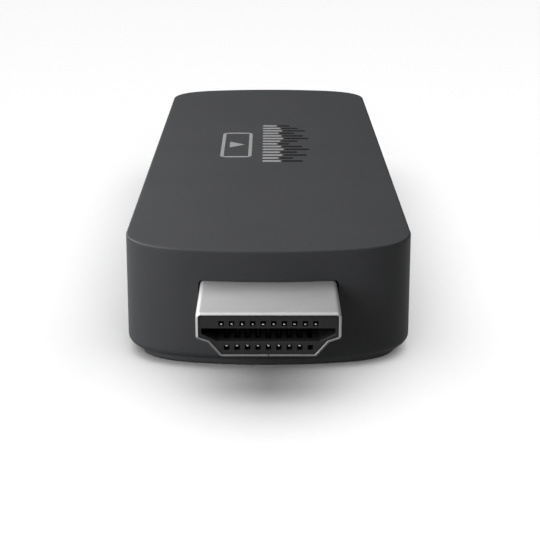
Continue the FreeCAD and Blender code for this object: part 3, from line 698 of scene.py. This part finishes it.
for node, side, count, first in (("plug_contacts_upper", 1, 10, -4.5 * mm),
                                 ("plug_contacts_lower", -1, 8, -4 * mm)):
    contact_mesh = skin(node, strip_rings(contact_path(side), contact_width, contact_thickness, 0.05 * mm))
    smoothed(contact_mesh, 50)
    single = placed("single_contact", contact_mesh)
    row = placed(node.replace("plug_contacts", "contacts"), bpy.data.meshes.new(node))
    repeat = row.modifiers.new("repeat", "NODES")
    repeat.node_group = row_tree
    repeat[contact_socket.identifier] = single
    repeat[count_socket.identifier] = count
    repeat[pitch_socket.identifier] = 1 * mm
    repeat[start_socket.identifier] = first
    repeat[metal_socket.identifier] = contact_metal
    applied(row)
    bpy.data.objects.remove(single)
    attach(row, "root")
    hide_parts(node)

# ---------------------------------------------------------------- power inlet
# A small five-contact inlet hung under the board: a shell folded from tinned steel, with its
# mouth in the housing's side, and a black tongue inside that carries the contacts.

inlet_mouth, inlet_back = inlet_low.x + clear, inlet_high.x - clear
inlet_rings = []
for turn in quarter(5):
    inlet_rings.append(inlet_ring(-0.1 * mm * (1 - math.sin(turn)),
                                  inlet_mouth + 0.1 * mm * (1 - math.cos(turn))))
for grow, x in ((0, inlet_mouth + 0.4 * mm), (0, inlet_back), (-sheet, inlet_back),
                (-sheet, inlet_mouth + 0.2 * mm)):
    inlet_rings.append(inlet_ring(grow, x))
for turn in quarter(3)[::-1]:
    inlet_rings.append(inlet_ring(inner_lip * (1 - math.sin(turn)) - sheet,
                                  inlet_mouth + inner_lip * (1 - math.cos(turn))))
inlet = placed("inlet_sleeve", skin("inlet_sleeve", inlet_rings, capped=False))
smoothed(inlet.data)
inlet_steel = finish("inlet_steel", sheet_grain, {"Stretch": 6, "Grain Size": 0.06 * mm}, (0.46, 0.46, 0.47),
                     (0.6, 0.6, 0.61), (0.28, 0.38), (0.12, 0.004 * mm), metallic=1)
inlet.data.materials.append(inlet_steel)
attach(inlet, "root")
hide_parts("inlet_shell")
inlet_plastic = finish("inlet_plastic", mould_texture, {"Grain Size": 0.08 * mm}, (0.011, 0.011, 0.012),
                       (0.019, 0.019, 0.02), (0.4, 0.5), (0.15, 0.008 * mm))
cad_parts["inlet_insulator"].material_slots[0].material = inlet_plastic
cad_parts["inlet_contacts"].material_slots[0].material = contact_metal

# ---------------------------------------------------------------- main board
# Glass-reinforced epoxy laminate under dark green solder mask. Pins on the base cover's posts
# pass through it, and the top cover's posts press it down.

board_laminate = finish("board_laminate", mould_texture, {"Grain Size": 0.35 * mm}, (0.006, 0.014, 0.009),
                        (0.014, 0.034, 0.02), (0.3, 0.45), (0.2, 0.012 * mm))
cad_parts["main_board"].material_slots[0].material = board_laminate

# ---------------------------------------------------------------- packages and small chips
# Moulded epoxy packages with a matt top, and the small chips soldered round them: ferrite coils,
# nickel-plated crystals, buff capacitors, black resistors and the protectors behind the plug.

package_epoxy = finish("package_epoxy", mould_texture, {"Grain Size": 0.06 * mm}, (0.012, 0.012, 0.013),
                       (0.024, 0.024, 0.025), (0.5, 0.65), (0.3, 0.01 * mm))
for node in ("processor_package", "memory_package", "storage_package", "wireless_package",
             "power_management_package"):
    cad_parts[node].material_slots[0].material = package_epoxy
chips = {
    "power_inductors": finish("inductor_ferrite", mould_texture, {"Grain Size": 0.05 * mm},
                              (0.05, 0.048, 0.046), (0.1, 0.095, 0.09), (0.55, 0.7), (0.4, 0.012 * mm)),
    "crystals": finish("crystal_can", sheet_grain, {"Stretch": 4, "Grain Size": 0.05 * mm},
                       (0.52, 0.51, 0.48), (0.68, 0.67, 0.63), (0.22, 0.34), (0.1, 0.003 * mm), metallic=1),
    "ceramic_capacitors": finish("capacitor_ceramic", mould_texture, {"Grain Size": 0.04 * mm},
                                 (0.3, 0.2, 0.12), (0.48, 0.34, 0.22), (0.35, 0.5), (0.2, 0.006 * mm)),
    "resistors": finish("resistor_ceramic", mould_texture, {"Grain Size": 0.04 * mm}, (0.015, 0.016, 0.02),
                        (0.04, 0.042, 0.05), (0.3, 0.45), (0.2, 0.006 * mm)),
    "surge_protectors": finish("protector_epoxy", mould_texture, {"Grain Size": 0.05 * mm},
                               (0.016, 0.016, 0.016), (0.03, 0.03, 0.03), (0.45, 0.6), (0.3, 0.008 * mm)),
}
for node, material in chips.items():
    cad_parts[node].material_slots[0].material = material

# ---------------------------------------------------------------- shields, pads and heat spreaders
# Fences and press-on lids of tinned steel on both faces of the board, soft grey silicone pads on
# the processor and the lids, and two anodised aluminium plates that spread the heat.

shield_tin = finish("shield_tin", sheet_grain, {"Stretch": 15, "Grain Size": 0.08 * mm}, (0.5, 0.5, 0.49),
                    (0.66, 0.66, 0.64), (0.26, 0.4), (0.12, 0.004 * mm), metallic=1)
pad_silicone = finish("pad_silicone", mould_texture, {"Grain Size": 0.2 * mm}, (0.22, 0.24, 0.27),
                      (0.34, 0.36, 0.4), (0.6, 0.8), (0.3, 0.02 * mm))
spreader_aluminium = finish("spreader_aluminium", sheet_grain, {"Stretch": 30, "Grain Size": 0.07 * mm},
                            (0.55, 0.55, 0.56), (0.72, 0.72, 0.73), (0.34, 0.48), (0.15, 0.005 * mm),
                            metallic=1)
for node in ("upper_shield_frame", "upper_shield_lid", "lower_shield_frame", "lower_shield_lid"):
    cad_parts[node].material_slots[0].material = shield_tin
for node in ("processor_pad", "upper_spreader_pad", "lower_spreader_pad"):
    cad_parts[node].material_slots[0].material = pad_silicone
for node in ("upper_heat_spreader", "lower_heat_spreader"):
    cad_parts[node].material_slots[0].material = spreader_aluminium

# ---------------------------------------------------------------- antennas
# Two strips of copper alloy folded over a black plastic bridge at the rear of the board, each
# touched from below by a small folded spring.

antenna_plastic = finish("antenna_plastic", mould_texture, {"Grain Size": 0.1 * mm}, (0.014, 0.014, 0.015),
                         (0.024, 0.024, 0.025), (0.45, 0.58), (0.2, 0.01 * mm))
antenna_metal = finish("antenna_metal", sheet_grain, {"Stretch": 8, "Grain Size": 0.06 * mm},
                       (0.5, 0.4, 0.26), (0.66, 0.54, 0.36), (0.28, 0.4), (0.1, 0.004 * mm), metallic=1)
spring_metal = finish("spring_metal", sheet_grain, {"Stretch": 5, "Grain Size": 0.05 * mm}, (0.56, 0.5, 0.38),
                      (0.72, 0.64, 0.48), (0.26, 0.36), (0.1, 0.003 * mm), metallic=1)
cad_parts["antenna_carrier"].material_slots[0].material = antenna_plastic
for node in ("left_antenna", "right_antenna"):
    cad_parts[node].material_slots[0].material = antenna_metal
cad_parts["antenna_spring_contacts"].material_slots[0].material = spring_metal
